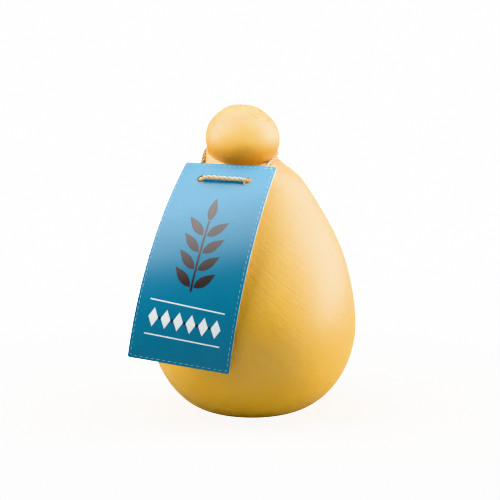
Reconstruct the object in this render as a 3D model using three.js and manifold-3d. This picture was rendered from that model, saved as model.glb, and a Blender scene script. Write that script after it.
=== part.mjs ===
// A caciocavallo cheese: an egg-shaped body that stands on a small flat spot, a neck,
// a round head closed by a swirl, and a stitched card tag on a twine tied round the neck.
// Millimetres, +Z up, the front towards -Y, origin at the middle of the flat spot.

import * as THREE from 'three';
import { mergeVertices } from 'three/addons/utils/BufferGeometryUtils.js';
import Module from 'manifold-3d';

// Body of the cheese, as an outline turned about the upright axis
const BASE_RADIUS = 22;
const BASE_ROUND = 31;
const BELLY_RADIUS = 70.8;
const BELLY_HEIGHT = 62;
const BELLY_PULL_DOWN = 30;
const BELLY_PULL_UP = 45;
const SHOULDER_RADIUS = 40;
const SHOULDER_HEIGHT = 159.7;
const SHOULDER_STEEPNESS = THREE.MathUtils.degToRad(63);
const SHOULDER_PULL_DOWN = 23;
const SHOULDER_PULL_UP = 4;
const COLLAR_RADIUS = 26.2;
const COLLAR_HEIGHT = 172.2;
const COLLAR_PULL = 9;
const NECK_RADIUS = 24;
const NECK_HEIGHT = 177;
const NECK_TOP = 183;
const BODY_SIDES = 72;
const BASE_STEPS = 2;
const CURVE_STEPS = 12;
const NECK_STEPS = 4;

// The neck leans to one side and a little forward, and is narrower from front to back
const LEAN_FROM = 100;
const LEAN_TO = 172;
const NECK_SHIFT = new THREE.Vector2(-7.4, -1);
const NARROW_FROM = 60;
const NARROW_TO = 170;
const NECK_DEPTH_RATIO = 0.72;

// Head: a flattened ball that nods over the neck and leans a little
const HEAD_CENTRE = new THREE.Vector3(-6.4, -7, 187.4);
const HEAD_RADIUS = 25.1;
const HEAD_HALF_HEIGHT = 22;
const HEAD_LEAN = -0.04;
const HEAD_SIDES = 52;
const HEAD_RINGS = 14;

// Swirl on the head: a groove that winds in to a dimple
const SWIRL_DIRECTION = new THREE.Vector3(0.455, -0.342, 0.822).normalize();
const SWIRL_RINGS = 18;
const SWIRL_REACH = 15;
const SWIRL_START_RADIUS = 11.6;
const SWIRL_END_RADIUS = 1.8;
const SWIRL_START_ANGLE = THREE.MathUtils.degToRad(190);
const SWIRL_TURNS = 1.15;
const SWIRL_WIDTH = 0.95;
const SWIRL_DEPTH = 0.9;
const SWIRL_DEEP_SHARE = 0.35;
const SWIRL_FADE = 0.3;
const DIMPLE_RADIUS = 2;
const DIMPLE_DEPTH = 0.6;

// Card tag, bent down over the shoulder and twisted a little
const TAG_WIDTH = 66.9;
const TAG_LENGTH = 140.4;
const TAG_THICKNESS = 0.8;
const TAG_CORNER = 1.4;
const TAG_TOP = new THREE.Vector3(-13.9, -25, 170.75);
const TAG_TURN = THREE.MathUtils.degToRad(18.85);
const TAG_ROLL = THREE.MathUtils.degToRad(-8.4);
const TAG_TWIST = THREE.MathUtils.degToRad(-21.2);
const TAG_SLOPE = THREE.MathUtils.degToRad(44.9);
const TAG_BEND = THREE.MathUtils.degToRad(-47);
const TAG_CELLS = [6, 12];
const TAG_BEND_STEPS = 48;
const TAG_PROBE = 0.5;
const TAG_CUTTER_DEPTH = 3 * TAG_THICKNESS;
const ROUND_STEPS = 5;
const HOLE_RADIUS = 2.8;
const HOLES = [[-16.7, 14.1], [16.3, 12.4]];

// Twine: from the knot behind the neck, through both holes of the tag and back
const TWINE_RADIUS = 1.2;
const TWINE_SIDES = 8;
const TWINE_STEPS = 72;
const TWINE_BED_SLACK = 0.35;
const TWINE_ROUTE = [
  [-9.5, 17.9, 180.0], [-17.3, 15.8, 180.3], [-24.0, 11.3, 180.4], [-29.2, 4.6, 180.1],
  [-31.5, -3.0, 178.3], [-32.7, -9.2, 174.5], [-33.6, -14.0, 169.4], [-34.0, -18.5, 164.6],
  [-34.0, -22.7, 161.4], [-33.6, -26.4, 161.4], [-31.8, -29.1, 162.4], [-26.3, -31.9, 162.9],
  [-19.5, -34.7, 162.6], [-12.6, -37.5, 162.4], [-6.5, -40.1, 162.1], [-3.2, -39.5, 160.9],
  [-0.6, -37.1, 160.5], [1.8, -33.4, 161.6], [5.4, -26.9, 165.2], [10.5, -18.2, 170.3],
  [15.0, -9.4, 174.2], [17.1, -1.6, 176.6], [15.9, 5.2, 178.6], [10.8, 11.2, 180.0],
  [4.2, 15.7, 180.2], [-3.5, 17.9, 180.0],
];

// Knot behind the neck, with two cut tails that lie on the shoulder
const KNOT_CENTRE = new THREE.Vector3(-6.5, 19.4, 180.2);
const KNOT_HALF_SIZE = new THREE.Vector3(3.3, 2.2, 2.7);
const KNOT_SIDES = 16;
const TAIL_STEPS = 8;
const TAILS = [
  [[-7.4, 19.7, 179.4], [-9.0, 19.4, 174.2], [-10.6, 22.2, 169.0], [-12.2, 26.9, 164.0]],
  [[-5.6, 19.7, 179.4], [-3.8, 19.4, 174.4], [-1.8, 21.8, 169.4], [0.4, 25.9, 165.0]],
];

// Finishes
const RIND = { color: '#e3b65c', roughness: 0.45 };
const CARD = { color: '#3a93bf', roughness: 0.5 };
const CORD = { color: '#c9b48f', roughness: 0.9 };

// Corners nearer than this are one corner
const WELD_DISTANCE = 0.001;

const wasm = await Module();
wasm.setup();

/** Smooth step from 0 at one height to 1 at another. */
function ease(value, from, to) {
  return THREE.MathUtils.smoothstep(value, from, to);
}

/** Leaves only shared corner positions and whole triangles in a geometry. */
function weld(geometry) {
  const bare = geometry.clone();
  for (const name of Object.keys(bare.attributes)) {
    if (name !== 'position') bare.deleteAttribute(name);
  }
  const merged = mergeVertices(bare, WELD_DISTANCE);
  const corners = merged.index.array;
  const kept = [];
  for (let i = 0; i < corners.length; i += 3) {
    const [a, b, c] = corners.subarray(i, i + 3);
    if (a !== b && b !== c && c !== a) kept.push(a, b, c);
  }
  merged.setIndex(kept);
  return merged;
}

/** Moves every corner of a geometry by a function of its place. */
function moveCorners(geometry, move) {
  const position = geometry.attributes.position;
  const point = new THREE.Vector3();
  for (let i = 0; i < position.count; i += 1) {
    move(point.fromBufferAttribute(position, i));
    position.setXYZ(i, point.x, point.y, point.z);
  }
  return geometry;
}

/** A closed geometry as a solid that can be joined and cut. */
function toSolid(geometry) {
  const closed = weld(geometry);
  return new wasm.Manifold(new wasm.Mesh({
    numProp: 3,
    vertProperties: new Float32Array(closed.attributes.position.array),
    triVerts: new Uint32Array(closed.index.array),
  }));
}

/** A solid back as a geometry. */
function fromSolid(solid) {
  const mesh = solid.getMesh();
  const geometry = new THREE.BufferGeometry();
  geometry.setAttribute('position', new THREE.BufferAttribute(mesh.vertProperties, 3));
  geometry.setIndex(new THREE.BufferAttribute(mesh.triVerts, 1));
  geometry.computeVertexNormals();
  return geometry;
}

/** A round rod along a smooth curve through the given points. */
function rod(points, radius, sides, steps) {
  const corners = [];
  for (let i = 0; i < sides; i += 1) {
    const angle = (2 * Math.PI * i) / sides;
    corners.push(new THREE.Vector2(radius * Math.cos(angle), radius * Math.sin(angle)));
  }
  const path = new THREE.CatmullRomCurve3(points.map((p) => new THREE.Vector3(...p)));
  return new THREE.ExtrudeGeometry(new THREE.Shape(corners), {
    steps, extrudePath: path, bevelEnabled: false,
  });
}

/** Half outline of body and neck, from the middle of the base to the middle of the neck's top. */
function bodyOutline() {
  const flank = new THREE.Vector2(Math.cos(SHOULDER_STEEPNESS), -Math.sin(SHOULDER_STEEPNESS));
  const shoulder = new THREE.Vector2(SHOULDER_RADIUS, SHOULDER_HEIGHT);
  const collar = new THREE.Vector2(COLLAR_RADIUS, COLLAR_HEIGHT);
  const slope = shoulder.clone().sub(collar).normalize();
  const flankEnd = shoulder.clone().addScaledVector(flank, SHOULDER_PULL_DOWN);
  const coneStart = shoulder.clone().addScaledVector(flank, -SHOULDER_PULL_UP);
  const coneEnd = collar.clone().addScaledVector(slope, COLLAR_PULL);
  const base = new THREE.LineCurve(new THREE.Vector2(0, 0), new THREE.Vector2(BASE_RADIUS, 0));
  const low = new THREE.CubicBezierCurve(
    new THREE.Vector2(BASE_RADIUS, 0), new THREE.Vector2(BASE_RADIUS + BASE_ROUND, 0),
    new THREE.Vector2(BELLY_RADIUS, BELLY_HEIGHT - BELLY_PULL_DOWN),
    new THREE.Vector2(BELLY_RADIUS, BELLY_HEIGHT),
  );
  const high = new THREE.CubicBezierCurve(
    new THREE.Vector2(BELLY_RADIUS, BELLY_HEIGHT),
    new THREE.Vector2(BELLY_RADIUS, BELLY_HEIGHT + BELLY_PULL_UP), flankEnd, shoulder,
  );
  const cone = new THREE.CubicBezierCurve(shoulder, coneStart, coneEnd, collar);
  const neck = new THREE.QuadraticBezierCurve(
    collar, new THREE.Vector2(NECK_RADIUS, COLLAR_HEIGHT + COLLAR_RADIUS - NECK_RADIUS),
    new THREE.Vector2(NECK_RADIUS, NECK_HEIGHT),
  );
  const dome = new THREE.QuadraticBezierCurve(
    new THREE.Vector2(NECK_RADIUS, NECK_HEIGHT), new THREE.Vector2(NECK_RADIUS, NECK_TOP),
    new THREE.Vector2(0, NECK_TOP),
  );
  const runs = [
    [base, BASE_STEPS], [low, CURVE_STEPS], [high, CURVE_STEPS], [cone, NECK_STEPS],
    [neck, NECK_STEPS], [dome, NECK_STEPS],
  ];
  return runs.flatMap(([curve, steps], k) => curve.getPoints(steps).slice(k ? 1 : 0));
}

/** Body and neck: the turned outline, with the neck leaning and flattened. */
function bodyGeometry() {
  const turned = new THREE.LatheGeometry(bodyOutline(), BODY_SIDES).rotateX(Math.PI / 2);
  return moveCorners(turned, (p) => {
    const lean = ease(p.z, LEAN_FROM, LEAN_TO);
    const narrow = ease(p.z, NARROW_FROM, NARROW_TO);
    p.x += NECK_SHIFT.x * lean;
    p.y = p.y * (1 + (NECK_DEPTH_RATIO - 1) * narrow) + NECK_SHIFT.y * lean;
  });
}

/** Depth of the swirl at a distance from its middle and an angle round it. */
function swirlDepth(distance, angle) {
  let depth = DIMPLE_DEPTH * Math.exp(-((distance / DIMPLE_RADIUS) ** 2));
  const whole = 2 * Math.PI;
  const first = THREE.MathUtils.euclideanModulo(angle - SWIRL_START_ANGLE, whole);
  for (let run = first; run < SWIRL_TURNS * whole; run += whole) {
    const along = run / (SWIRL_TURNS * whole);
    const middle = THREE.MathUtils.lerp(SWIRL_START_RADIUS, SWIRL_END_RADIUS, along);
    const strength = SWIRL_FADE + (1 - SWIRL_FADE) * (1 - ease(along, 0, SWIRL_DEEP_SHARE));
    depth += SWIRL_DEPTH * strength * Math.exp(-(((distance - middle) / SWIRL_WIDTH) ** 2));
  }
  return depth;
}

/** Head: rings about the swirl, close together inside it, pressed into a flattened ball. */
function headGeometry() {
  const swirlAngle = SWIRL_REACH / HEAD_RADIUS;
  const outline = [];
  for (let i = 0; i <= HEAD_RINGS + SWIRL_RINGS; i += 1) {
    const angle = i <= HEAD_RINGS
      ? THREE.MathUtils.lerp(Math.PI, swirlAngle, i / HEAD_RINGS)
      : THREE.MathUtils.lerp(swirlAngle, 0, (i - HEAD_RINGS) / SWIRL_RINGS);
    const onAxis = i === 0 || i === HEAD_RINGS + SWIRL_RINGS;
    outline.push(new THREE.Vector2(onAxis ? 0 : Math.sin(angle), Math.cos(angle)));
  }
  const right = new THREE.Vector3(1, 0, 0).projectOnPlane(SWIRL_DIRECTION).normalize();
  const up = SWIRL_DIRECTION.clone().cross(right);
  const turn = new THREE.Matrix4().makeBasis(right, up, SWIRL_DIRECTION);
  const ball = new THREE.LatheGeometry(outline, HEAD_SIDES).rotateX(Math.PI / 2);
  return moveCorners(ball, (p) => {
    const distance = Math.acos(THREE.MathUtils.clamp(p.z, -1, 1)) * HEAD_RADIUS;
    const depth = swirlDepth(distance, Math.atan2(p.y, p.x));
    p.applyMatrix4(turn).multiplyScalar(1 - depth / HEAD_RADIUS);
    p.set(p.x * HEAD_RADIUS, p.y * HEAD_RADIUS, p.z * HEAD_HALF_HEIGHT);
    p.x += HEAD_LEAN * p.z;
    p.add(HEAD_CENTRE);
  });
}

/** Whole cheese, with the bed that the twine has pressed into it. */
function cheeseGeometry() {
  const bed = rod(TWINE_ROUTE, TWINE_RADIUS + TWINE_BED_SLACK, TWINE_SIDES, TWINE_STEPS);
  const whole = toSolid(bodyGeometry()).add(toSolid(headGeometry()));
  return fromSolid(whole.subtract(toSolid(bed)));
}

/** Place on the middle layer of the tag, from mm right of its centre line and mm below its top. */
function tagPlace(across, below) {
  const outward = new THREE.Vector3(-Math.sin(TAG_TURN), -Math.cos(TAG_TURN), 0);
  const sideways = new THREE.Vector3(
    Math.cos(TAG_TURN) * Math.cos(TAG_ROLL), -Math.sin(TAG_TURN) * Math.cos(TAG_ROLL), Math.sin(TAG_ROLL),
  );
  const downward = sideways.clone().cross(outward);
  const slopeAt = (part) => TAG_SLOPE + TAG_BEND * part;
  const place = TAG_TOP.clone();
  const step = below / TAG_BEND_STEPS;
  for (let i = 0; i < TAG_BEND_STEPS; i += 1) {
    const angle = slopeAt(((i + 0.5) * step) / TAG_LENGTH);
    place.addScaledVector(outward, Math.sin(angle) * step);
    place.addScaledVector(downward, Math.cos(angle) * step);
  }
  const tilt = slopeAt(below / TAG_LENGTH);
  const twist = TAG_TWIST * (below / TAG_LENGTH - 0.5);
  place.addScaledVector(sideways, across * Math.cos(twist));
  place.addScaledVector(outward, across * Math.sin(twist) * Math.cos(tilt));
  return place.addScaledVector(downward, -across * Math.sin(twist) * Math.sin(tilt));
}

/** Outline of the flat card with its two punched holes, thicker than the card. */
function tagCutter() {
  const halfWidth = TAG_WIDTH / 2;
  const inset = TAG_CORNER;
  const card = new THREE.Shape();
  card.absarc(halfWidth - inset, inset, inset, -Math.PI / 2, 0);
  card.absarc(halfWidth - inset, TAG_LENGTH - inset, inset, 0, Math.PI / 2);
  card.absarc(-halfWidth + inset, TAG_LENGTH - inset, inset, Math.PI / 2, Math.PI);
  card.absarc(-halfWidth + inset, inset, inset, Math.PI, 1.5 * Math.PI);
  for (const [across, below] of HOLES) {
    card.holes.push(new THREE.Path().absarc(across, below, HOLE_RADIUS, 0, 2 * Math.PI));
  }
  return new THREE.ExtrudeGeometry(card, {
    depth: TAG_CUTTER_DEPTH, bevelEnabled: false, curveSegments: ROUND_STEPS,
  }).translate(0, 0, -TAG_CUTTER_DEPTH / 2);
}

/** Tag: the flat card cut from a sheet of small cells, then bent into its hanging shape. */
function tagGeometry() {
  const sheet = new THREE.BoxGeometry(TAG_WIDTH, TAG_LENGTH, TAG_THICKNESS, ...TAG_CELLS, 1)
    .translate(0, TAG_LENGTH / 2, 0);
  const flat = fromSolid(toSolid(sheet).intersect(toSolid(tagCutter())));
  return moveCorners(flat, (p) => {
    const [across, below, layer] = p.toArray();
    const right = tagPlace(across + TAG_PROBE, below).sub(tagPlace(across - TAG_PROBE, below));
    const down = tagPlace(across, below + TAG_PROBE).sub(tagPlace(across, below - TAG_PROBE));
    const back = right.cross(down).normalize();
    p.copy(tagPlace(across, below)).addScaledVector(back, layer);
  });
}

/** Knot with its two tails. */
function knotGeometry() {
  const lump = new THREE.SphereGeometry(1, KNOT_SIDES, KNOT_SIDES / 2)
    .scale(...KNOT_HALF_SIZE.toArray()).translate(...KNOT_CENTRE.toArray());
  const tails = TAILS.map((points) => toSolid(rod(points, TWINE_RADIUS, TWINE_SIDES, TAIL_STEPS)));
  return fromSolid(tails.reduce((whole, tail) => whole.add(tail), toSolid(lump)));
}

/** A named piece with its own finish. */
function piece(name, geometry, finish) {
  const material = new THREE.MeshStandardMaterial({ ...finish, metalness: 0 });
  const mesh = new THREE.Mesh(weld(geometry), material);
  mesh.name = name;
  return mesh;
}

const caciocavallo = new THREE.Group();
caciocavallo.add(
  piece('cheese', cheeseGeometry(), RIND),
  piece('tag', tagGeometry(), CARD),
  piece('twine', rod(TWINE_ROUTE, TWINE_RADIUS, TWINE_SIDES, TWINE_STEPS), CORD),
  piece('knot', knotGeometry(), CORD),
);

export default caciocavallo;
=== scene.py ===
"""Caciocavallo cheese with a stitched card tag on twine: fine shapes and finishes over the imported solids.

Sizes are in millimetres in the row's frame: +Z up, the front towards -Y, the origin under the cheese.
Finishes, lamps, floor and backdrop take metres, as Blender does.
"""

import logging
import math
from dataclasses import dataclass
from enum import Enum
from functools import cache
from typing import Any, Sequence

import bpy
import numpy as np
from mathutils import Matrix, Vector
from mathutils.geometry import delaunay_2d_cdt


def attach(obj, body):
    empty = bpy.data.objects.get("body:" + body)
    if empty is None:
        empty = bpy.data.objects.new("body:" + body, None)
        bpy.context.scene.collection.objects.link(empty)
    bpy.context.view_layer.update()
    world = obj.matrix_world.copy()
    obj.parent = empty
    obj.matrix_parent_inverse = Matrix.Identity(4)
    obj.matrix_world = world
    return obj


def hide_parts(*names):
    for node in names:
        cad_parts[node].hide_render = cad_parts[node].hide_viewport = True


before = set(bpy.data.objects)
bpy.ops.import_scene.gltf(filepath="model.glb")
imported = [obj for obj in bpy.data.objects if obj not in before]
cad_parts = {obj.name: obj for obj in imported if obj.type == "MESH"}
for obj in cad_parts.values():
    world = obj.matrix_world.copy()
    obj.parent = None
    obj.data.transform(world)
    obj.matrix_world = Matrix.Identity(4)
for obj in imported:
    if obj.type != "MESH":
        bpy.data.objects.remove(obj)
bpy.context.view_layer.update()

BODY = "root"
MM = 0.001
WHOLE_TURN = 2.0 * math.pi
LOG = logging.getLogger("caciocavallo")

Colour = tuple[float, float, float, float]
Pair = tuple[float, float]
Place = tuple[float, float, float]

BLACK: Colour = (0.0, 0.0, 0.0, 1.0)
WHITE: Colour = (1.0, 1.0, 1.0, 1.0)

# How finely the shared noise is broken up, and the part of its range that the patches use
STREAK_DETAIL = 2.0
MOTTLE_DETAIL = 4.0
MOTTLE_RANGE = (0.3, 0.7)


def ease(value: np.ndarray, start: float, end: float) -> np.ndarray:
    """Smooth step from 0 at start to 1 at end."""
    part = np.clip((np.asarray(value, float) - start) / (end - start), 0.0, 1.0)
    return part * part * (3.0 - 2.0 * part)


def bell(distance: np.ndarray, width: float) -> np.ndarray:
    """Bell curve that is 1 at no distance."""
    return np.exp(-((distance / width) ** 2))


def unit(vectors: np.ndarray) -> np.ndarray:
    """Vectors at length one."""
    return vectors / np.linalg.norm(vectors, axis=-1, keepdims=True)


def compass(angle: np.ndarray) -> np.ndarray:
    """Flat directions at angles from the first axis."""
    return np.stack([np.cos(angle), np.sin(angle)], axis=-1)


def run_along(line: np.ndarray) -> np.ndarray:
    """Distance along a line from its first point to each of its points."""
    return np.concatenate([[0.0], np.cumsum(np.linalg.norm(np.diff(line, axis=0), axis=1))])


def bezier(corners: Sequence[Sequence[float]], steps: int) -> np.ndarray:
    """Points along a Bezier curve.

    Args:
        corners: Its control points.
        steps: Number of steps from its start to its end.

    Returns:
        One row for each point.
    """
    part = np.linspace(0.0, 1.0, steps + 1)[:, None]
    level = [np.asarray(corner, float) for corner in corners]
    while len(level) > 1:
        level = [a * (1.0 - part) + b * part for a, b in zip(level, level[1:])]
    return level[0]


def smooth_run(places: Sequence[Sequence[float]], gap: float) -> np.ndarray:
    """The smooth line that a cord takes through some places: a centripetal Catmull-Rom curve.

    Args:
        places: What the line passes through.
        gap: Rough distance between the points of the result.

    Returns:
        Closely spaced points from the first place to the last.
    """
    through = np.asarray(places, float)
    p = np.vstack([2.0 * through[0] - through[1], through, 2.0 * through[-1] - through[-2]])
    rows = [through[:1]]
    for i in range(1, len(p) - 2):
        level = list(p[i - 1:i + 3])
        knots = np.cumsum([0.0, *(math.sqrt(math.dist(a, b)) for a, b in zip(level, level[1:]))])
        steps = max(2, round(math.dist(p[i], p[i + 1]) / gap))
        t = np.linspace(knots[1], knots[2], steps + 1)[1:, None]
        for spans in (((0, 1), (1, 2), (2, 3)), ((0, 2), (1, 3)), ((1, 2),)):
            level = [
                (a * (knots[high] - t) + b * (t - knots[low])) / (knots[high] - knots[low])
                for a, b, (low, high) in zip(level, level[1:], spans)
            ]
        rows.append(level[0])
    return np.vstack(rows)


def keep_piece(piece: bpy.types.Object, slot: str, *nodes: str) -> None:
    """Puts a finished piece on the body, in place of its plain solids.

    Args:
        piece: The piece.
        slot: Not used.
        *nodes: Plain solids that the piece stands for.
    """
    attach(piece, BODY)
    if nodes:
        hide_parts(*nodes)
    LOG.info("%s: %d faces", piece.name, len(piece.data.polygons))


def new_object(name: str, data: bpy.types.ID) -> bpy.types.Object:
    """Puts an object in the scene.

    Args:
        name: Its name.
        data: Its mesh, lamp or camera.

    Returns:
        The object.
    """
    made = bpy.data.objects.new(name, data)
    bpy.context.scene.collection.objects.link(made)
    return made


def new_mesh(
    name: str, points: np.ndarray, faces: Sequence[Sequence[int]], edges: Sequence = ()
) -> bpy.types.Mesh:
    """A mesh in metres with smooth faces.

    Args:
        name: Its name.
        points: Corners in millimetres.
        faces: Corner numbers of each face.
        edges: Corner numbers of loose edges.

    Returns:
        The mesh.
    """
    mesh = bpy.data.meshes.new(name)
    mesh.from_pydata((np.asarray(points) * MM).tolist(), list(edges), list(faces))
    mesh.shade_smooth()
    return mesh


@dataclass
class Graph:
    """A node tree with a short way to add and join nodes."""

    tree: bpy.types.NodeTree

    def add(self, kind: str, inputs: dict | None = None, **settings: Any) -> bpy.types.Node:
        """Adds a node.

        Args:
            kind: Its type.
            inputs: For each input, by name or number, a value or another node's output.
            **settings: Its own properties.

        Returns:
            The node.
        """
        node = self.tree.nodes.new(kind)
        for name, value in settings.items():
            setattr(node, name, value)
        for name, value in (inputs or {}).items():
            self.feed(node.inputs[name], value)
        return node

    def out(self, kind: str, inputs: dict | None = None, **settings: Any) -> bpy.types.NodeSocket:
        """Adds a node and gives its first output."""
        return self.add(kind, inputs, **settings).outputs[0]

    def feed(self, socket: bpy.types.NodeSocket, value: Any) -> None:
        """Sets an input, or joins another node's output to it.

        Args:
            socket: The input.
            value: A constant or an output.
        """
        if isinstance(value, bpy.types.NodeSocket):
            self.tree.links.new(value, socket)
        else:
            socket.default_value = value

    def math(self, operation: str, *values: Any) -> bpy.types.NodeSocket:
        """Result of one step of arithmetic on numbers or outputs."""
        return self.out("ShaderNodeMath", dict(enumerate(values)), operation=operation)

    def weigh(self, *parts: tuple[Any, float]) -> bpy.types.NodeSocket:
        """Adds up outputs by their shares.

        Args:
            *parts: Each output with its share.

        Returns:
            Their weighted sum.
        """
        total, *others = [self.math("MULTIPLY", value, share) for value, share in parts]
        for other in others:
            total = self.math("ADD", total, other)
        return total

    def span(self, value: Any, taken: Pair = (0.0, 1.0), given: Pair = (0.0, 1.0)) -> bpy.types.NodeSocket:
        """A value carried from one range to another, and held inside it."""
        ends = zip(("From Min", "From Max", "To Min", "To Max"), (*taken, *given))
        return self.out("ShaderNodeMapRange", {"Value": value, **dict(ends)})

    def mix(self, share: Any, first: Any, second: Any) -> bpy.types.NodeSocket:
        """A colour between two."""
        node = self.add("ShaderNodeMix", {0: share, 6: first, 7: second}, data_type="RGBA")
        return node.outputs[2]

    def attribute(self, name: str) -> bpy.types.NodeSocket:
        """A value that the mesh carries at its points."""
        return self.add("ShaderNodeAttribute", attribute_name=name).outputs["Fac"]


class Kind(Enum):
    """Kinds of node group sockets."""

    FLOAT = "NodeSocketFloat"
    INT = "NodeSocketInt"
    VECTOR = "NodeSocketVector"
    GEOMETRY = "NodeSocketGeometry"
    MATERIAL = "NodeSocketMaterial"


def new_group(name: str, tree_kind: str, takes: dict[str, Kind], gives: dict[str, Kind]) -> Graph:
    """An empty node group.

    Args:
        name: Its name.
        tree_kind: Shader or geometry tree.
        takes: Its inputs.
        gives: Its outputs.

    Returns:
        The group, without any nodes.
    """
    tree = bpy.data.node_groups.new(name, tree_kind)
    for in_out, sockets in (("INPUT", takes), ("OUTPUT", gives)):
        for socket, kind in sockets.items():
            tree.interface.new_socket(socket, in_out=in_out, socket_type=kind.value)
    return Graph(tree)


def end_tree(
    graph: Graph, made: bpy.types.NodeSocket, material: bpy.types.NodeSocket
) -> bpy.types.NodeTree:
    """Ends a geometry tree: copies become real meshes and get their material.

    Args:
        graph: The tree.
        made: What it has made.
        material: The material's input.

    Returns:
        The finished tree.
    """
    real = graph.out("GeometryNodeRealizeInstances", {"Geometry": made})
    dressed = graph.out("GeometryNodeSetMaterial", {"Geometry": real, "Material": material})
    graph.add("NodeGroupOutput", {0: dressed})
    return graph.tree


@cache
def streaks() -> bpy.types.NodeTree:
    """Fine lines drawn out along Z and wound round it, as in stretched curd, laid card and spun fibre.

    Returns:
        Shader group that puts out the height of the lines.
    """
    takes = {"Vector": Kind.VECTOR, "Winding": Kind.FLOAT, "Stretch": Kind.FLOAT, "Scale": Kind.FLOAT}
    graph = new_group("streaks", "ShaderNodeTree", takes, {"Height": Kind.FLOAT})
    given = graph.add("NodeGroupInput").outputs
    height = graph.add("ShaderNodeSeparateXYZ", {0: given["Vector"]}).outputs["Z"]
    angle = graph.math("MULTIPLY", height, given["Winding"])
    turned = graph.out(
        "ShaderNodeVectorRotate", {"Vector": given["Vector"], "Angle": angle}, rotation_type="Z_AXIS"
    )
    squeeze = graph.out("ShaderNodeCombineXYZ", {"X": 1.0, "Y": 1.0, "Z": given["Stretch"]})
    drawn = graph.out("ShaderNodeVectorMath", {0: turned, 1: squeeze}, operation="MULTIPLY")
    noise = graph.out(
        "ShaderNodeTexNoise", {"Vector": drawn, "Scale": given["Scale"], "Detail": STREAK_DETAIL}
    )
    graph.add("NodeGroupOutput", {"Height": noise})
    return graph.tree


@cache
def mottle() -> bpy.types.NodeTree:
    """Soft uneven patches.

    Returns:
        Shader group that puts out a share between 0 and 1.
    """
    takes = {"Vector": Kind.VECTOR, "Scale": Kind.FLOAT}
    graph = new_group("mottle", "ShaderNodeTree", takes, {"Share": Kind.FLOAT})
    given = graph.add("NodeGroupInput").outputs
    noise = graph.out(
        "ShaderNodeTexNoise", {"Vector": given["Vector"], "Scale": given["Scale"], "Detail": MOTTLE_DETAIL}
    )
    graph.add("NodeGroupOutput", {"Share": graph.span(noise, MOTTLE_RANGE)})
    return graph.tree


@dataclass
class Finish:
    """A material in the making: its nodes and its Principled shader."""

    name: str

    def __post_init__(self) -> None:
        """Makes the empty material."""
        self.material = bpy.data.materials.new(self.name)
        self.material.use_nodes = True
        self.graph = Graph(self.material.node_tree)
        self.shader = self.material.node_tree.nodes["Principled BSDF"]

    def set(self, **values: Any) -> None:
        """Sets or joins the shader's inputs, named with _ for a space."""
        for name, value in values.items():
            self.graph.feed(self.shader.inputs[name.replace("_", " ")], value)

    def effect(self, tree: bpy.types.NodeTree, **values: Any) -> bpy.types.NodeSocket:
        """Places a node group.

        Args:
            tree: The group.
            **values: Its inputs.

        Returns:
            Its first output.
        """
        node = self.graph.add("ShaderNodeGroup", node_tree=tree)
        for name, value in values.items():
            self.graph.feed(node.inputs[name], value)
        return node.outputs[0]

    def bump(self, height: bpy.types.NodeSocket, strength: float, distance: float) -> None:
        """Roughens the surface by a height."""
        values = {"Height": height, "Strength": strength, "Distance": distance}
        self.set(Normal=self.graph.out("ShaderNodeBump", values))


@dataclass(frozen=True)
class RindFinish:
    """Smooth waxy rind of stretched curd, painted darker towards the base, with painted shade in the
    swirl's groove and under the head.
    """

    pale: Colour = (0.785, 0.525, 0.15, 1.0)
    deep: Colour = (0.72, 0.4, 0.022, 1.0)
    # Painted shade in the swirl's groove and dimple: the deeper, the darker
    crease: Colour = (0.42, 0.335, 0.085, 1.0)
    # Painted shade under the head, where its underside and the neck face down
    shade_under_head: Colour = (0.68, 0.31, 0.003, 1.0)
    deep_shade_under_head: Colour = (0.57, 0.225, 0.003, 1.0)
    # Painted shade: the rind darkens from the head down towards the base
    pale_height: float = 0.19
    deep_height: float = 0.02
    low_shade_share: float = 0.75
    patches: float = 24.0
    patch_share: float = 0.15
    line_share: float = 0.2

    winding: float = 17.0
    stretch: float = 0.035
    broad_lines: float = 330.0
    broad_share: float = 0.45
    fine_lines: float = 1300.0
    fine_share: float = 0.55
    grain: float = 700.0
    grain_share: float = 0.06
    relief_strength: float = 0.42
    relief_depth: float = 0.0005

    roughness: Pair = (0.38, 0.46)
    gloss: float = 1.1
    bloom: float = 0.12
    translucence: float = 0.3
    light_spread: tuple[float, float, float] = (1.0, 0.42, 0.1)
    light_depth: float = 0.005

    def material(self) -> bpy.types.Material:
        """Makes the material.

        Returns:
            The rind's material, wound round the height of the cheese.
        """
        finish = Finish("rind")
        graph = finish.graph
        place = graph.add("ShaderNodeTexCoord").outputs["Object"]
        height = graph.add("ShaderNodeSeparateXYZ", {0: place}).outputs["Z"]
        broad, fine = (
            finish.effect(streaks(), Vector=place, Winding=self.winding, Stretch=self.stretch, Scale=scale)
            for scale in (self.broad_lines, self.fine_lines)
        )
        patches = finish.effect(mottle(), Vector=place, Scale=self.patches)
        grain = finish.effect(mottle(), Vector=place, Scale=self.grain)
        lines = graph.weigh((broad, self.broad_share), (fine, self.fine_share))
        # Painted shade: darker towards the base
        low_shade = graph.span(height, (self.pale_height, self.deep_height), (0.0, self.low_shade_share))
        blots = graph.weigh((patches, self.patch_share), (lines, self.line_share))
        tone = graph.mix(graph.math("ADD", low_shade, blots), self.pale, self.deep)
        # Painted shade: in the swirl's groove, and under the head where the surface faces down
        marked = {
            Cheese.SHADE_UNDER_HEAD: self.shade_under_head,
            Cheese.DEEP_SHADE_UNDER_HEAD: self.deep_shade_under_head,
            Cheese.SWIRL_SHADE: self.crease,
        }
        for mask, colour in marked.items():
            tone = graph.mix(graph.attribute(mask), tone, colour)
        finish.set(Base_Color=tone, Roughness=graph.span(grain, given=self.roughness))
        finish.set(Specular_IOR_Level=self.gloss, Sheen_Weight=self.bloom)
        finish.set(Subsurface_Weight=self.translucence, Subsurface_Radius=self.light_spread)
        finish.set(Subsurface_Scale=self.light_depth)
        relief = graph.weigh((lines, 1.0), (grain, self.grain_share))
        finish.bump(relief, self.relief_strength, self.relief_depth)
        return finish.material


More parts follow.
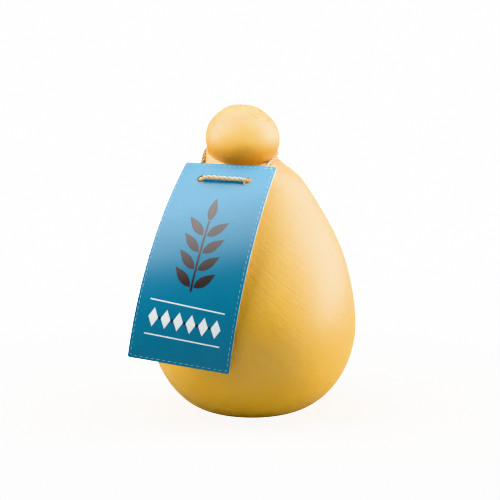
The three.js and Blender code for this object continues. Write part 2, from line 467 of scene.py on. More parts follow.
@dataclass(frozen=True)
class CardFinish:
    """Card, printed on its face or bare, with the faint lines of its making."""

    name: str
    colour: Colour
    worn: Colour
    roughness: float = 0.36
    roughness_spread: float = 0.06
    gloss: float = 0.74
    lines: float = 1100.0
    line_stretch: float = 0.03
    line_share: float = 0.3
    patches: float = 60.0
    patch_share: float = 0.25
    relief_strength: float = 0.12
    relief_depth: float = 0.0002

    def material(self) -> bpy.types.Material:
        """Makes the material.

        Returns:
            The card's material, laid out on its own UV map.
        """
        finish = Finish(self.name)
        graph = finish.graph
        flat = graph.add("ShaderNodeSeparateXYZ", {0: graph.out("ShaderNodeUVMap", uv_map=Tag.UV)}).outputs
        across = graph.math("MULTIPLY", flat["X"], Tag.width * MM)
        along = graph.math("MULTIPLY", flat["Y"], Tag.length * MM)
        place = graph.out("ShaderNodeCombineXYZ", {"X": across, "Z": along})
        lines = finish.effect(
            streaks(), Vector=place, Winding=0.0, Stretch=self.line_stretch, Scale=self.lines
        )
        patches = finish.effect(mottle(), Vector=place, Scale=self.patches)
        tone = graph.weigh((patches, self.patch_share), (lines, self.line_share))
        rough = (self.roughness - self.roughness_spread, self.roughness + self.roughness_spread)
        finish.set(Base_Color=graph.mix(tone, self.colour, self.worn))
        finish.set(Roughness=graph.span(lines, given=rough), Specular_IOR_Level=self.gloss)
        finish.bump(lines, self.relief_strength, self.relief_depth)
        return finish.material


@dataclass(frozen=True)
class FibreFinish:
    """Spun natural fibre, with painted shade in the grooves between its plies."""

    name: str
    pale: Colour
    dark: Colour
    fibres: float = 2600.0
    lay: float = 500.0
    stretch: float = 0.12
    patches: float = 150.0
    uneven_share: float = 0.35
    # Painted shade in the grooves between the plies
    groove: Pair = (0.8, 0.1)
    roughness: float = 0.85
    fuzz: float = 0.3
    fuzz_roughness: float = 0.5
    relief_strength: float = 0.5
    relief_depth: float = 0.0002

    def material(self) -> bpy.types.Material:
        """Makes the material.

        Returns:
            The fibre's material, wound along the strand by its own attributes.
        """
        finish = Finish(self.name)
        graph = finish.graph
        along = graph.attribute(Strand.ALONG)
        girth = graph.math("MULTIPLY", graph.attribute(Strand.AROUND), WHOLE_TURN)
        ring = [graph.math("MULTIPLY", graph.math(way, girth), MM) for way in ("COSINE", "SINE")]
        place = graph.out("ShaderNodeCombineXYZ", {"X": ring[0], "Y": ring[1], "Z": along})
        lines = finish.effect(
            streaks(), Vector=place, Winding=self.lay, Stretch=self.stretch, Scale=self.fibres
        )
        patches = finish.effect(mottle(), Vector=place, Scale=self.patches)
        tone = graph.weigh((patches, self.uneven_share), (lines, self.uneven_share))
        # Painted shade: each ply darkens where it turns from the outside of the strand into the grooves
        groove = graph.span(graph.math("COSINE", girth), self.groove)
        finish.set(Base_Color=graph.mix(graph.math("ADD", tone, groove), self.pale, self.dark))
        finish.set(Roughness=self.roughness, Sheen_Weight=self.fuzz, Sheen_Roughness=self.fuzz_roughness)
        finish.bump(lines, self.relief_strength, self.relief_depth)
        return finish.material


@dataclass(frozen=True)
class Strand:
    """Twisted twine along a line: plies that wind round each other."""

    radius: float = 1.4
    plies: int = 3
    ply_radius: float = 0.68
    twist: float = WHOLE_TURN / 11.0
    sides: int = 8

    ALONG = "along"
    AROUND = "around"

    @staticmethod
    @cache
    def tree(plies: int) -> bpy.types.NodeTree:
        """Geometry tree that lays plies along each line.

        Args:
            plies: How many plies.

        Returns:
            The tree.
        """
        takes = {
            "Lines": Kind.GEOMETRY, "Ply Radius": Kind.FLOAT, "Ply Offset": Kind.FLOAT,
            "Twist": Kind.FLOAT, "Sides": Kind.INT, "Material": Kind.MATERIAL,
        }
        graph = new_group(f"twisted_strand_{plies}", "GeometryNodeTree", takes, {"Strand": Kind.GEOMETRY})
        given = graph.add("NodeGroupInput").outputs
        # The line turns about itself, and keeps the distance along it for the finish
        line = graph.out("GeometryNodeMeshToCurve", {"Mesh": given["Lines"]})
        along = graph.add("GeometryNodeSplineParameter").outputs["Length"]
        marked = graph.out(
            "GeometryNodeStoreNamedAttribute", {"Geometry": line, "Name": Strand.ALONG, "Value": along}
        )
        tilt = graph.math("MULTIPLY", along, given["Twist"])
        wound = graph.out("GeometryNodeSetCurveTilt", {"Curve": marked, "Tilt": tilt})
        # The section is a ring of plies, each with its own way round it for the finish
        circle = graph.out(
            "GeometryNodeCurvePrimitiveCircle",
            {"Resolution": given["Sides"], "Radius": given["Ply Radius"]},
        )
        share = graph.add("GeometryNodeSplineParameter").outputs["Factor"]
        ring = graph.out(
            "GeometryNodeStoreNamedAttribute", {"Geometry": circle, "Name": Strand.AROUND, "Value": share}
        )
        section = graph.add("GeometryNodeJoinGeometry")
        for ply in range(plies):
            angle = WHOLE_TURN * ply / plies
            offset = given["Ply Offset"]
            x = graph.math("MULTIPLY", offset, math.cos(angle))
            y = graph.math("MULTIPLY", offset, math.sin(angle))
            shift = graph.out("ShaderNodeCombineXYZ", {"X": x, "Y": y})
            moved = graph.out(
                "GeometryNodeTransform",
                {"Geometry": ring, "Translation": shift, "Rotation": (0.0, 0.0, angle)},
            )
            graph.feed(section.inputs[0], moved)
        swept = graph.out(
            "GeometryNodeCurveToMesh",
            {"Curve": wound, "Profile Curve": section.outputs[0], "Fill Caps": True},
        )
        return end_tree(graph, swept, given["Material"])

    def build(self, name: str, lines: list[np.ndarray], material: bpy.types.Material) -> bpy.types.Object:
        """Lays twine along lines.

        Args:
            name: Name of the piece.
            lines: Points of each line, in millimetres.
            material: Its finish.

        Returns:
            The piece, a plain mesh.
        """
        sizes = {
            "Ply Radius": self.ply_radius * MM, "Ply Offset": (self.radius - self.ply_radius) * MM,
            "Twist": self.twist / MM, "Sides": self.sides, "Material": material,
        }
        return grow(name, lines, Strand.tree(self.plies), sizes)


def grow(
    name: str, lines: list[np.ndarray], tree: bpy.types.NodeTree, sizes: dict[str, Any]
) -> bpy.types.Object:
    """Runs a geometry tree along lines and keeps what it makes.

    Args:
        name: Name of the piece.
        lines: Points of each line, in millimetres.
        tree: The geometry tree.
        sizes: Its inputs by name.

    Returns:
        The piece, a plain smooth mesh with no modifier.
    """
    edges, start = [], 0
    for line in lines:
        edges += [(i, i + 1) for i in range(start, start + len(line) - 1)]
        start += len(line)
    guide = new_object(f"{name}_guide", new_mesh(f"{name}_guide", np.vstack(lines), [], edges))
    modifier = guide.modifiers.new(name, "NODES")
    modifier.node_group = tree
    for item in tree.interface.items_tree:
        if item.in_out == "INPUT" and item.name in sizes:
            modifier[item.identifier] = sizes[item.name]
    graph = bpy.context.evaluated_depsgraph_get()
    made = bpy.data.meshes.new_from_object(guide.evaluated_get(graph), depsgraph=graph)
    made.name = name
    made.shade_smooth()
    bpy.data.objects.remove(guide)
    return new_object(name, made)


@dataclass
class Twine:
    """Twine from the knot behind the neck, through both holes of the tag and back."""

    radius: float = 1.2
    point_gap: float = 0.6
    strand: Strand = Strand()
    knot_strand: Strand = Strand(1.08, ply_radius=0.56)
    knot_centre: Place = (-6.5, 19.4, 180.2)
    knot_loop: tuple[float, float, float] = (0.82, 0.95, 0.64)
    knot_steps: int = 90

    ROUTE = (
        (-9.5, 17.9, 180.0), (-17.3, 15.8, 180.3), (-24.0, 11.3, 180.4), (-29.2, 4.6, 180.1),
        (-31.5, -3.0, 178.3), (-32.7, -9.2, 174.5), (-33.6, -14.0, 169.4), (-34.0, -18.5, 164.6),
        (-34.0, -22.7, 161.4), (-33.6, -26.4, 161.4), (-31.8, -29.1, 162.4), (-26.3, -31.9, 162.9),
        (-19.5, -34.7, 162.6), (-12.6, -37.5, 162.4), (-6.5, -40.1, 162.1), (-3.2, -39.5, 160.9),
        (-0.6, -37.1, 160.5), (1.8, -33.4, 161.6), (5.4, -26.9, 165.2), (10.5, -18.2, 170.3),
        (15.0, -9.4, 174.2), (17.1, -1.6, 176.6), (15.9, 5.2, 178.6), (10.8, 11.2, 180.0),
        (4.2, 15.7, 180.2), (-3.5, 17.9, 180.0),
    )
    TAILS = (
        ((-7.4, 19.7, 179.4), (-9.0, 19.4, 174.2), (-10.6, 22.2, 169.0), (-12.2, 26.9, 164.0)),
        ((-5.6, 19.7, 179.4), (-3.8, 19.4, 174.4), (-1.8, 21.8, 169.4), (0.4, 25.9, 165.0)),
    )

    def line(self) -> np.ndarray:
        """Middle line of the twine, in millimetres."""
        return smooth_run(self.ROUTE, self.point_gap)

    def knot_line(self) -> np.ndarray:
        """Middle line of the knot: a loop that passes over and under itself, a trefoil.

        Returns:
            Its points, in millimetres.
        """
        turn = np.linspace(0.0, WHOLE_TURN, self.knot_steps + 1)
        loop = [
            np.sin(turn) + 2.0 * np.sin(2.0 * turn),
            -np.sin(3.0 * turn),
            np.cos(turn) - 2.0 * np.cos(2.0 * turn),
        ]
        return np.stack(loop, axis=-1) * self.knot_loop + self.knot_centre

    def build(self, material: bpy.types.Material) -> None:
        """Args:
            material: Their finish.
        """
        line = self.line()
        twine = self.strand.build("twine_strands", [line], material)
        keep_piece(twine, "twine", "twine")
        ends = [smooth_run(tail, self.point_gap) for tail in self.TAILS]
        knot = self.knot_strand.build("knot_strands", [self.knot_line(), *ends], material)
        keep_piece(knot, "twine", "knot")


@dataclass(frozen=True)
class Bulge:
    """A gentle swelling, or a hollow where its height is negative."""

    place: Place
    spread: float
    height: float

    def relief(self, points: np.ndarray) -> np.ndarray:
        """Height outward from the smooth surface at each point."""
        return self.height * bell(np.linalg.norm(points - self.place, axis=-1), self.spread)


@dataclass
class Cheese:
    """Body, neck and head of the cheese, with the marks of its making."""

    base_radius: float = 22.0
    base_round: float = 31.0
    belly_radius: float = 70.8
    belly_height: float = 62.0
    belly_pull_down: float = 30.0
    belly_pull_up: float = 45.0
    shoulder_radius: float = 40.0
    shoulder_height: float = 159.7
    shoulder_steepness: float = math.radians(63.0)
    shoulder_pull_down: float = 23.0
    shoulder_pull_up: float = 4.0
    collar_radius: float = 26.2
    collar_height: float = 172.2
    collar_pull: float = 9.0
    neck_radius: float = 24.0
    neck_height: float = 177.0
    neck_top: float = 183.0
    outline_steps: int = 120
    lean_heights: Pair = (100.0, 172.0)
    neck_shift: Pair = (-7.4, -1.0)
    narrow_heights: Pair = (60.0, 170.0)
    neck_depth_ratio: float = 0.72
    round_heights: Pair = (135.0, 166.0)
    round_reach: float = 4.0
    round_samples: int = 21
    head_centre: Place = (-6.4, -7.0, 187.4)
    head_radius: float = 25.1
    head_half_height: float = 22.0
    head_lean: float = -0.04

    swirl_direction: Place = (0.455, -0.342, 0.822)
    swirl_start_radius: float = 11.6
    swirl_end_radius: float = 1.8
    swirl_start_angle: float = math.radians(190.0)
    swirl_turns: float = 1.15
    swirl_width: float = 0.85
    swirl_depth: float = 1.1
    swirl_deep_share: float = 0.4
    swirl_fade: float = 0.3
    dimple_radius: float = 2.2
    dimple_depth: float = 0.9
    fold_ends: tuple[Place, Place] = ((0.08, -0.2, 0.976), (0.076, -0.575, 0.814))
    fold_width: float = 1.0
    fold_depth: float = 1.6

    sides: int = 300
    base_rings: int = 6
    body_gap: float = 1.6
    crease_from: float = 164.0
    crease_gap: float = 0.6
    crease_round: float = 1.4
    dome_rings: int = 100

    winding: float = 0.017
    ripple_height: float = 0.015
    ripple_counts: tuple[int, int] = (18, 60)
    ripple_drift: float = 0.03
    ripples: int = 14
    uneven_height: float = 0.25
    uneven_lengths: Pair = (40.0, 90.0)
    uneven_waves: int = 9
    gather_count: int = 26
    gather_height: float = 0.07
    gather_heights: tuple[float, float, float] = (150.0, 170.0, 179.0)
    mark_heights: Pair = (0.5, 14.0)
    bed_slack: float = 0.3
    seed: int = 7

    # Painted shade under the head: from this height up, on faces that turn down
    shade_from: float = 165.0
    shade_slopes: Pair = (-0.1, 0.5)
    deep_shade_slopes: Pair = (0.3, 0.8)

    BULGES = (
        Bulge((64.0, -5.0, 45.0), 32.0, 0.7),
        Bulge((55.0, -5.0, 98.0), 22.0, -0.8),
        Bulge((36.0, -8.0, 148.0), 18.0, 0.9),
        Bulge((-14.0, -5.0, 208.0), 7.0, 0.6),
        Bulge((1.5, -6.0, 207.5), 6.0, 0.6),
        Bulge((-30.0, -7.0, 174.0), 6.0, 1.2),
        Bulge((-58.0, -5.0, 26.0), 22.0, -0.7),
    )
    THIN = 0.001
    # Names of the mesh's masks of painted shade
    SWIRL_SHADE = "swirl_shade"
    SHADE_UNDER_HEAD = "shade_under_head"
    DEEP_SHADE_UNDER_HEAD = "deep_shade_under_head"

    def outline(self) -> np.ndarray:
        """Half outline of body and neck, from the edge of the base up.

        Returns:
            Radius and height of each point.
        """
        flank = np.array([math.cos(self.shoulder_steepness), -math.sin(self.shoulder_steepness)])
        base = (self.base_radius, 0.0)
        belly = (self.belly_radius, self.belly_height)
        shoulder = np.array([self.shoulder_radius, self.shoulder_height])
        collar = np.array([self.collar_radius, self.collar_height])
        slope = unit(shoulder - collar)
        neck = (self.neck_radius, self.neck_height)
        round_height = self.collar_height + self.collar_radius - self.neck_radius
        runs = [
            [base, (self.base_radius + self.base_round, 0.0),
             (self.belly_radius, self.belly_height - self.belly_pull_down), belly],
            [belly, (self.belly_radius, self.belly_height + self.belly_pull_up),
             shoulder + flank * self.shoulder_pull_down, shoulder],
            [shoulder, shoulder - flank * self.shoulder_pull_up, collar + slope * self.collar_pull, collar],
            [collar, (self.neck_radius, round_height), neck],
            [neck, (self.neck_radius, self.neck_top), (0.0, self.neck_top)],
        ]
        return np.vstack([bezier(run, self.outline_steps)[1 if k else 0:] for k, run in enumerate(runs)])

    def ring_heights(self) -> np.ndarray:
        """Heights of the rings of points, closer together at the crease under the head.

        Returns:
            Heights from the edge of the base to just below the top of the head.
        """
        outline = self.outline()
        low = outline[outline[:, 1] <= self.crease_from]
        run = run_along(low)
        body = np.interp(np.linspace(0.0, run[-1], round(run[-1] / self.body_gap)), run, low[:, 1])
        middle = self.head_centre[2]
        crease = np.linspace(self.crease_from, middle, round((middle - self.crease_from) / self.crease_gap))
        rise = np.linspace(0.0, math.pi / 2.0, self.dome_rings + 1)[1:-1]
        return np.concatenate([body, crease[1:], middle + self.head_half_height * np.sin(rise)])

    @staticmethod
    def reach(start: np.ndarray, half_x: np.ndarray, half_y: np.ndarray, way: np.ndarray) -> np.ndarray:
        """Distance to the rim of an ellipse.

        Args:
            start: Starting point of each ring, from the middle of its ellipse.
            half_x: Half width of each ellipse.
            half_y: Half depth of each ellipse.
            way: Directions round the ring.

        Returns:
            For each ring and direction the distance, or 0 where the ellipse isn't met.
        """
        half = np.maximum(np.stack([half_x, half_y], axis=-1), Cheese.THIN)
        from_middle = (start / half)[:, None, :]
        along = way[None, :, :] / half[:, None, :]
        a = (along ** 2).sum(-1)
        b = (along * from_middle).sum(-1)
        c = (from_middle ** 2).sum(-1) - 1.0
        inside = b * b - a * c
        return np.where(inside > 0.0, (np.sqrt(np.maximum(inside, 0.0)) - b) / a, 0.0)

    def body_radius(self, heights: np.ndarray) -> np.ndarray:
        """Radius of body and neck, with the shoulder's edge rounded off.

        Args:
            heights: Heights of the rings.

        Returns:
            The radius at each height, 0 above the neck.
        """
        tall = self.outline()[:, ::-1].T
        radius = np.interp(heights, *tall)
        radius[heights > self.neck_top] = 0.0
        shifts = np.linspace(-self.round_reach, self.round_reach, self.round_samples)
        soft = np.mean([np.interp(heights + shift, *tall) for shift in shifts], axis=0)
        low, high = self.round_heights
        return np.where((heights > low) & (heights < high), soft, radius)

    def surface(self) -> np.ndarray:
        """Smooth surface of body, neck and head.

        Returns:
            Rings of points, without the middle of the base and the top of the head.
        """
        heights = self.ring_heights()
        way = compass(np.arange(self.sides) * WHOLE_TURN / self.sides)
        radius = self.body_radius(heights)
        depth = 1.0 + (self.neck_depth_ratio - 1.0) * ease(heights, *self.narrow_heights)
        rise = np.clip((heights - self.head_centre[2]) / self.head_half_height, -1.0, 1.0)
        head_radius = self.head_radius * np.sqrt(1.0 - rise ** 2)
        # Body and head lean their own ways, and each ring is spread from a middle that both hold
        body_middle = ease(heights, *self.lean_heights)[:, None] * self.neck_shift
        leaning = (heights - self.head_centre[2])[:, None] * (self.head_lean, 0.0)
        head_middle = np.array(self.head_centre[:2]) + leaning
        share = ease(heights, self.crease_from, self.neck_height)[:, None]
        middle = body_middle * (1.0 - share) + head_middle * share
        body = self.reach(middle - body_middle, radius, radius * depth, way)
        head = self.reach(middle - head_middle, head_radius, head_radius, way)
        # The larger of the two shows, with a soft crease where they meet
        near = np.maximum(self.crease_round - np.abs(body - head), 0.0)
        reach = np.maximum(body, head) + near ** 2 / (4.0 * self.crease_round)
        flat = middle[:, None, :] + reach[:, :, None] * way[None, :, :]
        tall = np.broadcast_to(heights[:, None, None], (*reach.shape, 1))
        return np.concatenate([flat, tall], axis=-1)

    def swirl(self, points: np.ndarray) -> np.ndarray:
        """The swirl that closes the head, with its dimple and its fold.

        Args:
            points: Points of the smooth surface.

        Returns:
            Its depth at each point.
        """
        axis = unit(np.array(self.swirl_direction))
        right = unit(np.array([1.0, 0.0, 0.0]) - axis[0] * axis)
        up = np.cross(axis, right)
        half = (self.head_radius, self.head_radius, self.head_half_height)
        upright = points - self.head_centre
        upright[..., 0] -= self.head_lean * upright[..., 2]
        ball = unit(upright / half)
        distance = np.arccos(np.clip(ball @ axis, -1.0, 1.0)) * self.head_radius
        first = (np.arctan2(ball @ up, ball @ right) - self.swirl_start_angle) % WHOLE_TURN
        depth = self.dimple_depth * bell(distance, self.dimple_radius)
        # The groove winds inward and fades
        for turn in range(math.ceil(self.swirl_turns)):
            along = (first / WHOLE_TURN + turn) / self.swirl_turns
            middle = self.swirl_start_radius + (self.swirl_end_radius - self.swirl_start_radius) * along
            fresh = 1.0 - ease(along, 0.0, self.swirl_deep_share)
            strength = self.swirl_fade + (1.0 - self.swirl_fade) * fresh
            groove = bell(distance - middle, self.swirl_width)
            depth += np.where(along <= 1.0, self.swirl_depth * strength * groove, 0.0)
        # The fold is a short straight groove at the outer end of the swirl
        first, last = (unit(np.array(end)) for end in self.fold_ends)
        part = np.clip((ball - first) @ (last - first) / ((last - first) @ (last - first)), 0.0, 1.0)
        gap = np.linalg.norm(ball - first - part[..., None] * (last - first), axis=-1) * self.head_radius
        return depth + self.fold_depth * bell(gap, self.fold_width)

    def marks(self, points: np.ndarray) -> np.ndarray:
        """Low relief from stretching, tying and handling.

        Args:
            points: Points of the smooth surface.

        Returns:
            Its height outward at each point, 0 at the base.
        """
        draw = np.random.default_rng(self.seed)
        x, y, z = np.moveaxis(points, -1, 0)
        wound = np.arctan2(y, x - self.neck_shift[0] * ease(z, *self.lean_heights)) + self.winding * z
        relief = np.zeros_like(z)
        for count in draw.integers(*self.ripple_counts, self.ripples):
            phase = draw.uniform(0.0, WHOLE_TURN)
            drift = draw.uniform(-self.ripple_drift, self.ripple_drift)
            wave = np.sin(count * wound + phase + drift * z)
            relief += self.ripple_height * wave / math.sqrt(self.ripples)
        for _ in range(self.uneven_waves):
            way = unit(draw.normal(size=3))
            length = draw.uniform(*self.uneven_lengths)
            phase = draw.uniform(0.0, WHOLE_TURN)
            wave = np.sin(WHOLE_TURN * (points @ way) / length + phase)
            relief += self.uneven_height * wave / math.sqrt(self.uneven_waves)
        low, full, high = self.gather_heights
        tied = ease(z, low, full) * (1.0 - ease(z, full, high))
        relief += self.gather_height * tied * np.cos(self.gather_count * wound)
        relief += sum(bulge.relief(points) for bulge in self.BULGES)
        return relief * ease(z, *self.mark_heights)

    def bed(self, points: np.ndarray, twine: Twine) -> np.ndarray:
        """The bed that the twine has pressed into the cheese.

        Args:
            points: Points of the surface.
            twine: The twine.

        Returns:
            Its depth at each point.
        """
        nearest = np.full(points.shape[:-1], np.inf)
        for place in twine.line():
            nearest = np.minimum(nearest, np.linalg.norm(points - place, axis=-1))
        return np.maximum(twine.radius + self.bed_slack - nearest, 0.0)

    def faces(self, rings: int) -> list[tuple[int, ...]]:
        """Faces between the rings and the two end points, which come last.

        Args:
            rings: How many rings.

        Returns:
            Corner numbers of each face.
        """
        bottom, top = rings * self.sides, rings * self.sides + 1
        last = (rings - 1) * self.sides
        made = []
        for i in range(self.sides):
            j = (i + 1) % self.sides
            made.append((bottom, j, i))
            made.append((last + i, last + j, top))
            made += [
                (k + i, k + j, k + self.sides + j, k + self.sides + i) for k in range(0, last, self.sides)
            ]
        return made

    def build(self, twine: Twine, material: bpy.types.Material) -> None:
        """Makes the cheese.

        Args:
            twine: The twine that lies on it.
            material: Its finish.
        """
        skin = self.surface()
        round_way = np.roll(skin, -1, axis=1) - np.roll(skin, 1, axis=1)
        outward = unit(np.cross(round_way, np.gradient(skin, axis=0)))
        swirl = self.swirl(skin)
        skin = skin + outward * (self.marks(skin) - swirl)[..., None]
        skin = skin - outward * self.bed(skin, twine)[..., None]
        flat = skin[:1] * (np.arange(1, self.base_rings) / self.base_rings)[:, None, None]
        rings = np.concatenate([flat, skin])
        top = rings[-1].mean(axis=0)
        points = np.vstack([rings.reshape(-1, 3), np.zeros((1, 3)), top[None]])
        mesh = new_mesh("cheese_rind", points, self.faces(len(rings)))
        mesh.materials.append(material)
        # Masks of painted shade: in the swirl's groove and dimple, and under the head where the surface
        # faces down
        slope = np.where(skin[..., 2] > self.shade_from, -outward[..., 2], -1.0)
        masks = {
            self.SWIRL_SHADE: np.clip(swirl / self.swirl_depth, 0.0, 1.0),
            self.SHADE_UNDER_HEAD: ease(slope, *self.shade_slopes),
            self.DEEP_SHADE_UNDER_HEAD: ease(slope, *self.deep_shade_slopes),
        }
        for name, mask in masks.items():
            values = np.zeros(len(points), np.float32)
            values[flat.size // 3:-2] = mask.ravel()
            mesh.attributes.new(name, "FLOAT", "POINT").data.foreach_set("value", values)
        keep_piece(new_object("cheese_rind", mesh), "rind", "cheese")


class CardPart(Enum):
    """Parts of the card by their finish, in the order of the tag's materials."""

    BLUE = 0
    BROWN = 1
    WHITE = 2
    EDGE = 3
    BACK = 4


@dataclass
class Tag:
    """Bent card tag with punched holes, a printed face and stitching round its edge."""

    width: float = 66.9
    length: float = 140.4
    thickness: float = 0.8
    corner: float = 1.4
    corner_steps: int = 5
    top: Place = (-13.9, -25.0, 170.75)
    turn: float = math.radians(18.85)
    roll: float = math.radians(-8.4)
    twist: float = math.radians(-21.2)
    slope: float = math.radians(44.9)
    bend: float = math.radians(-47.0)
    bend_steps: int = 48
    probe: float = 0.5
    hole_radius: float = 2.8
    holes: tuple[Pair, ...] = ((-16.7, 14.1), (16.3, 12.4))
    hole_sides: int = 32
    cell: float = 2.2
    clear: float = 0.9
    weld: float = 0.00001
    crisp_angle: float = math.radians(40.0)

    stem_width: float = 1.5
    stem_from: float = 36.0
    stem_to: float = 92.0
    leaf_length: float = 17.0
    leaf_width: float = 6.4
    leaf_taper: float = 0.8
    leaf_steps: int = 8
    leaf_lean: float = math.radians(48.0)
    leaf_foot: float = 1.6
    leaf_pairs: int = 4
    leaf_gap: float = 11.5
    first_leaf: float = 49.0
    band_from: float = 101.0
    band_to: float = 123.0
    rule_width: float = 0.9
    band_half: float = 25.0
    lozenges: int = 6
    lozenge_half: Pair = (3.3, 6.2)
    dot_half: float = 1.2

    stitch_inset: float = 1.7
    stitch_length: float = 2.6
    stitch_gap: float = 1.1
    stitch_radius: float = 0.15
    stitch_scales: Pair = (0.86, 1.08)
    stitch_sides: int = 8
    stitch_rings: int = 6
    stitch_line_gap: float = 1.0
    stitch_seed: int = 3

    UV = "card"
    ALL_TRIANGLES = 0

    def place(self, across: np.ndarray, below: np.ndarray) -> np.ndarray:
        """Where the middle layer of the card is.

        Args:
            across: Millimetres right of its centre line.
            below: Millimetres below its top edge.

        Returns:
            Points in the row's frame.
        """
        across, below = np.asarray(across, float), np.asarray(below, float)
        turn, roll = self.turn, self.roll
        outward = np.array([-math.sin(turn), -math.cos(turn), 0.0])
        level = np.array([math.cos(turn), -math.sin(turn), 0.0])
        sideways = level * math.cos(roll) + (0.0, 0.0, math.sin(roll))
        downward = np.cross(sideways, outward)
        # Down its centre line the card bends at an even rate
        steps = (np.arange(self.bend_steps) + 0.5) / self.bend_steps
        angle = self.slope + self.bend * below[..., None] / self.length * steps
        reach = np.sin(angle).mean(-1) * below
        drop = np.cos(angle).mean(-1) * below
        # Across, it turns more and more about that line
        tilt = self.slope + self.bend * below / self.length
        twist = self.twist * (below / self.length - 0.5)
        reach = reach + across * np.sin(twist) * np.cos(tilt)
        drop = drop - across * np.sin(twist) * np.sin(tilt)
        aside = across * np.cos(twist)
        return self.top + sum(
            share[..., None] * way for share, way in ((aside, sideways), (reach, outward), (drop, downward))
        )

    def front(self, across: np.ndarray, below: np.ndarray) -> np.ndarray:
        """Direction out of the printed face.

        Args:
            across: Millimetres right of the centre line.
            below: Millimetres below the top edge.

        Returns:
            Directions of length one.
        """
        right = self.place(across + self.probe, below) - self.place(across - self.probe, below)
        down = self.place(across, below + self.probe) - self.place(across, below - self.probe)
        return unit(np.cross(down, right))

    def outline(self, inset: float) -> np.ndarray:
        """Outline of the flat card, or a line inside it, with round corners.

        Args:
            inset: How far the line is inside the edge.

        Returns:
            Its flat points.
        """
        half, low, high = self.width / 2.0 - inset, inset, self.length - inset
        rows = []
        for k, (x, y) in enumerate(((half, low), (half, high), (-half, high), (-half, low))):
            inward = self.corner if y == low else -self.corner
            middle = np.array([x - math.copysign(self.corner, x), y + inward])
            angle = math.pi / 2.0 * (k - 1 + np.linspace(0.0, 1.0, self.corner_steps + 1))
            rows.append(middle + self.corner * compass(angle))
        return np.vstack(rows)

    def leaf(self, foot: Pair, angle: float) -> np.ndarray:
        """Pointed leaf of the print.

        Args:
            foot: Where it grows from.
            angle: Its lean from straight up.

        Returns:
            Its flat outline.
        """
        part = np.linspace(0.0, 1.0, self.leaf_steps + 1)
        half = self.leaf_width / 2.0 * np.sin(math.pi * part ** self.leaf_taper)
        along = np.concatenate([part, part[-2:0:-1]]) * self.leaf_length
        aside = np.concatenate([half, -half[-2:0:-1]])
        x = foot[0] + along * math.sin(angle) + aside * math.cos(angle)
        y = foot[1] - along * math.cos(angle) + aside * math.sin(angle)
        return np.stack([x, y], axis=-1)

    def bar(self, left: float, right: float, upper: float, lower: float) -> np.ndarray:
        """Straight bar of the print."""
        return np.array([(left, upper), (right, upper), (right, lower), (left, lower)])

    def lozenge(self, across: float, below: float, half: Pair) -> np.ndarray:
        """Lozenge of the print."""
        (x, y), (w, h) = (across, below), half
        return np.array([(x, y - h), (x + w, y), (x, y + h), (x - w, y)])

    def print_shapes(self) -> list[tuple[CardPart, np.ndarray]]:
        """The print: a leafy sprig above a band of lozenges.

        Returns:
            Colour and flat outline of each shape.
        """
        stem = self.stem_width / 2.0
        tip = self.stem_from + self.leaf_length / 2.0
        shapes = [
            (CardPart.BROWN, self.bar(-stem, stem, tip, self.stem_to)),
            (CardPart.BROWN, self.leaf((0.0, tip), 0.0)),
        ]
        for pair in range(self.leaf_pairs):
            below = self.first_leaf + self.leaf_gap * (pair + 0.5)
            for side in (-1.0, 1.0):
                leaf = self.leaf((side * stem * self.leaf_foot, below), side * self.leaf_lean)
                shapes.append((CardPart.BROWN, leaf))
        for edge in (self.band_from, self.band_to):
            rule = self.bar(-self.band_half, self.band_half, edge, edge + self.rule_width)
            shapes.append((CardPart.WHITE, rule))
        gap = 2.0 * self.band_half / self.lozenges
        middle = (self.band_from + self.band_to + self.rule_width) / 2.0
        for k in range(self.lozenges):
            across = (k + 0.5) * gap - self.band_half
            shapes.append((CardPart.WHITE, self.lozenge(across, middle, self.lozenge_half)))
            if k:
                dot = self.lozenge(across - gap / 2.0, middle, (self.dot_half, self.dot_half))
                shapes.append((CardPart.BROWN, dot))
        return shapes

    @staticmethod
    def within(points: np.ndarray, shape: np.ndarray) -> np.ndarray:
        """Whether flat points lie inside a shape.

        Args:
            points: The points.
            shape: Outline of the shape.

        Returns:
            True for each point inside.
        """
        x, y = points[:, :1], points[:, 1:]
        (x0, y0), (x1, y1) = shape.T, np.roll(shape, -1, axis=0).T
        spans = (y0 > y) != (y1 > y)
        rise = np.where(y1 == y0, 1.0, y1 - y0)
        return (spans & (x < x0 + (y - y0) * (x1 - x0) / rise)).sum(axis=1) % 2 == 1

    def hole(self, across: float, below: float) -> np.ndarray:
        """Rim of a punched hole."""
        angle = np.arange(self.hole_sides) * WHOLE_TURN / self.hole_sides
        return (across, below) + self.hole_radius * compass(angle)

    def flat_card(self) -> tuple[np.ndarray, np.ndarray, np.ndarray]:
        """Flat card as triangles that keep to the outline, the holes and the print.

        Returns:
            Flat points, triangles that face the front, and the part of the card of each triangle.
        """
        shapes = self.print_shapes()
        rims = [self.hole(*hole) for hole in self.holes]
        loops = [self.outline(0.0), *rims, *(shape for _, shape in shapes)]
        points, edges = [], []
        for loop in loops:
            first = len(points)
            for a, b in zip(loop, np.roll(loop, -1, axis=0)):
                steps = max(1, math.ceil(math.dist(a, b) / self.cell))
                points += [a + (b - a) * k / steps for k in range(steps)]
            count = len(points) - first
            edges += [(first + k, first + (k + 1) % count) for k in range(count)]
        # An even grid fills the room between the lines
        lines = np.array(points)
        grid = np.stack(np.meshgrid(
            np.arange(-self.width / 2.0 + self.cell / 2.0, self.width / 2.0, self.cell),
            np.arange(self.cell / 2.0, self.length, self.cell),
        ), axis=-1).reshape(-1, 2)
        gap = np.linalg.norm(grid[:, None] - lines[None], axis=-1).min(axis=1)
        spread = np.vstack([lines, grid[gap > self.clear]])
        made = delaunay_2d_cdt([Vector(p) for p in spread], edges, [], self.ALL_TRIANGLES, self.weld)
        flat = np.array([tuple(p) for p in made[0]])
        corners = np.array(made[2])
        middle = flat[corners].mean(axis=1)
        solid = ~np.any([self.within(middle, rim) for rim in rims], axis=0)
        corners, middle = corners[solid], middle[solid]
